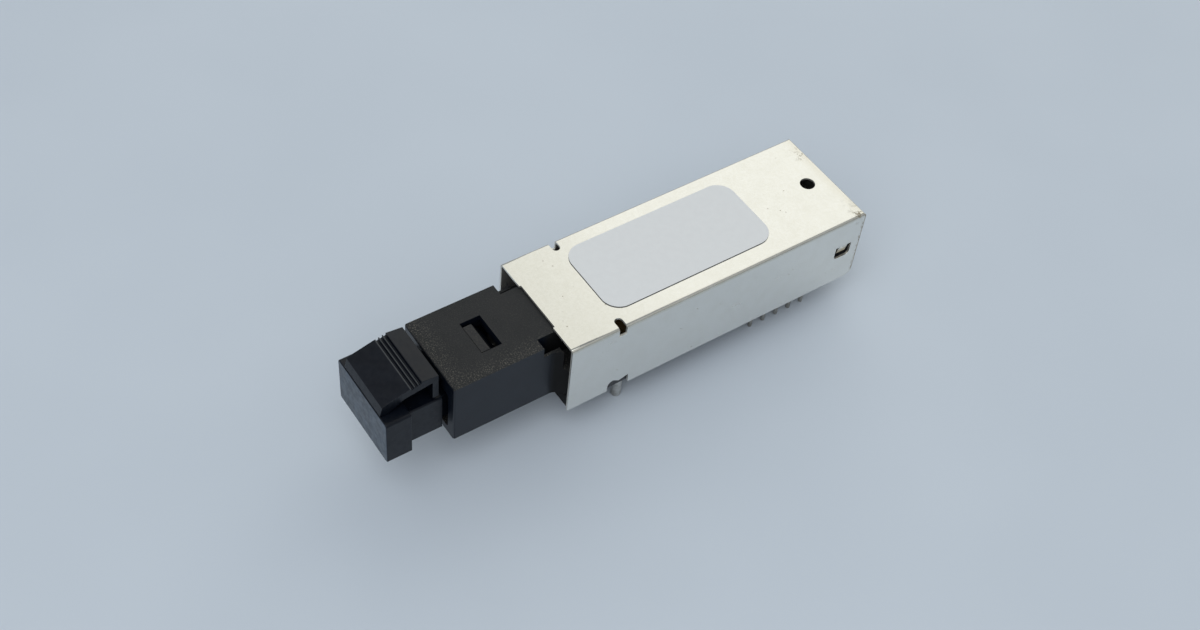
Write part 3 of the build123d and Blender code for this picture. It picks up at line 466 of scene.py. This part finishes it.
def shell_copy(node_name, piece_name, body, slot, easing):
    """Copy of a CAD node, riding on the same body, with its hard edges rounded.

    The rounding is easing wide, or narrower on the whole piece if a short edge leaves no room for it.
    Where easing is 0 the hard edges stay sharp.
    """
    shape = bmesh.new()
    shape.from_mesh(nodes[node_name].data)
    bmesh.ops.remove_doubles(shape, verts=shape.verts, dist=weld_distance)
    bmesh.ops.dissolve_limit(
        shape, angle_limit=flat_joint, verts=shape.verts, edges=shape.edges, delimit={"MATERIAL"}
    )
    hard = [
        edge
        for edge in shape.edges
        if len(edge.link_faces) == 2 and edge.calc_face_angle(0.0) > hard_edge
    ]
    if easing:
        bmesh.ops.bevel(
            shape,
            geom=hard,
            offset=easing,
            offset_type="OFFSET",
            segments=2,
            profile=0.5,
            affect="EDGES",
            clamp_overlap=True,
        )
    else:
        for edge in hard:
            edge.smooth = False
    mesh = bpy.data.meshes.new(piece_name)
    shape.to_mesh(mesh)
    shape.free()
    mesh.shade_smooth()
    piece = bpy.data.objects.new(piece_name, mesh)
    bpy.context.scene.collection.objects.link(piece)
    mesh.materials.append(finishes[slot])
    weighted = piece.modifiers.new("weighted_normals", "WEIGHTED_NORMAL")
    weighted.weight = 50
    weighted.keep_sharp = True
    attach(piece, body)
    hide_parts(node_name)


shell_copy("metal_cover", "cover_shell", "module", "plated_sheet", 0.03 * MM)
shell_copy("label", "label_sheet", "module", "label_film", 0.02 * MM)
shell_copy("port_housing", "port_shell", "module", "black_moulding", 0.0)
shell_copy("base_carrier", "carrier_shell", "module", "carrier_moulding", 0.05 * MM)
shell_copy("plug_body", "plug_shell", "process_plug", "plug_moulding", 0.06 * MM)
shell_copy("plug_latch_arm", "latch_arm_shell", "plug_latch", "plug_moulding", 0.03 * MM)


# =====================================================================================================
# Stage: floor through the tips that the module stands on, soft lights and camera
# =====================================================================================================
floor_size = 1.6
pin_radius = 0.23 * MM
rear_pin_y = pins_high.y - pin_radius
post_y = (posts_low.y + posts_high.y) / 2
floor_tilt = math.atan2(pins_low.z - posts_low.z, rear_pin_y - post_y)


def pale_floor():
    """Large plain floor that touches the tips of the posts and of the rear pins."""
    mesh = bpy.data.meshes.new("floor")
    shape = bmesh.new()
    bmesh.ops.create_grid(shape, x_segments=1, y_segments=1, size=floor_size / 2)
    shape.to_mesh(mesh)
    shape.free()
    floor = bpy.data.objects.new("floor", mesh)
    bpy.context.scene.collection.objects.link(floor)
    floor.location = (0.0, post_y, posts_low.z)
    floor.rotation_euler = (floor_tilt, 0.0, 0.0)
    finish = Finish("floor_paper", (0.61, 0.67, 0.74), 0.75)
    finish.set(
        "Base Color",
        finish.blend(finish.ramp(finish.noise(30.0), 0.3, 0.7), (0.60, 0.66, 0.73), (0.62, 0.68, 0.75)),
    )
    mesh.materials.append(finish.material)


def soft_light(name, direction, distance, size, watts, colour=(1.0, 1.0, 1.0)):
    """Square soft box in the given direction from the frame's origin, facing it."""
    light = bpy.data.lights.new(name, "AREA")
    light.shape = "SQUARE"
    light.size = size
    light.energy = watts
    light.color = colour
    lamp = bpy.data.objects.new(name, light)
    bpy.context.scene.collection.objects.link(lamp)
    towards = Vector(direction).normalized()
    lamp.location = towards * distance
    lamp.rotation_euler = towards.to_track_quat("Z", "Y").to_euler()


def studio():
    """Plain pale surroundings and the soft boxes."""
    world = bpy.data.worlds.new("studio")
    bpy.context.scene.world = world
    world.use_nodes = True
    tree = world.node_tree
    direction = tree.nodes.new("ShaderNodeTexCoord")
    split = tree.nodes.new("ShaderNodeSeparateXYZ")
    fade = tree.nodes.new("ShaderNodeValToRGB")
    tree.links.new(direction.outputs["Generated"], split.inputs[0])
    tree.links.new(split.outputs["Z"], fade.inputs["Fac"])
    tree.links.new(fade.outputs["Color"], tree.nodes["Background"].inputs["Color"])
    # Dim at the horizon, brightest half way up and dimmer again overhead.
    horizon, overhead = fade.color_ramp.elements
    horizon.position = 0.0
    horizon.color = (0.16, 0.17, 0.19, 1.0)
    overhead.position = 0.9
    overhead.color = (0.30, 0.32, 0.34, 1.0)
    half_way = fade.color_ramp.elements.new(0.45)
    half_way.color = (0.50, 0.53, 0.56, 1.0)
    soft_light("key_soft_box", (-0.50, 0.62, 0.60), 0.55, 0.60, 0.79, (1.0, 0.985, 0.89))
    soft_light("fill_soft_box", (0.32, -0.42, 0.85), 0.65, 0.60, 1.85, (0.95, 0.98, 1.0))


def main_camera():
    """Camera above the module's front right, rolled a little."""
    place = Vector((83.846, -67.426, 129.710)) * MM
    turn_degrees = (40.3394, -4.4071, 56.0324)
    data = bpy.data.cameras.new("camera")
    data.sensor_width = 36.0
    data.lens = 48.15
    data.clip_start = 0.005
    data.clip_end = 20.0
    camera = bpy.data.objects.new("camera", data)
    bpy.context.scene.collection.objects.link(camera)
    camera.location = place
    camera.rotation_euler = tuple(math.radians(angle) for angle in turn_degrees)
    bpy.context.scene.camera = camera


pale_floor()
studio()
main_camera()
bpy.context.scene.view_settings.view_transform = "Standard"
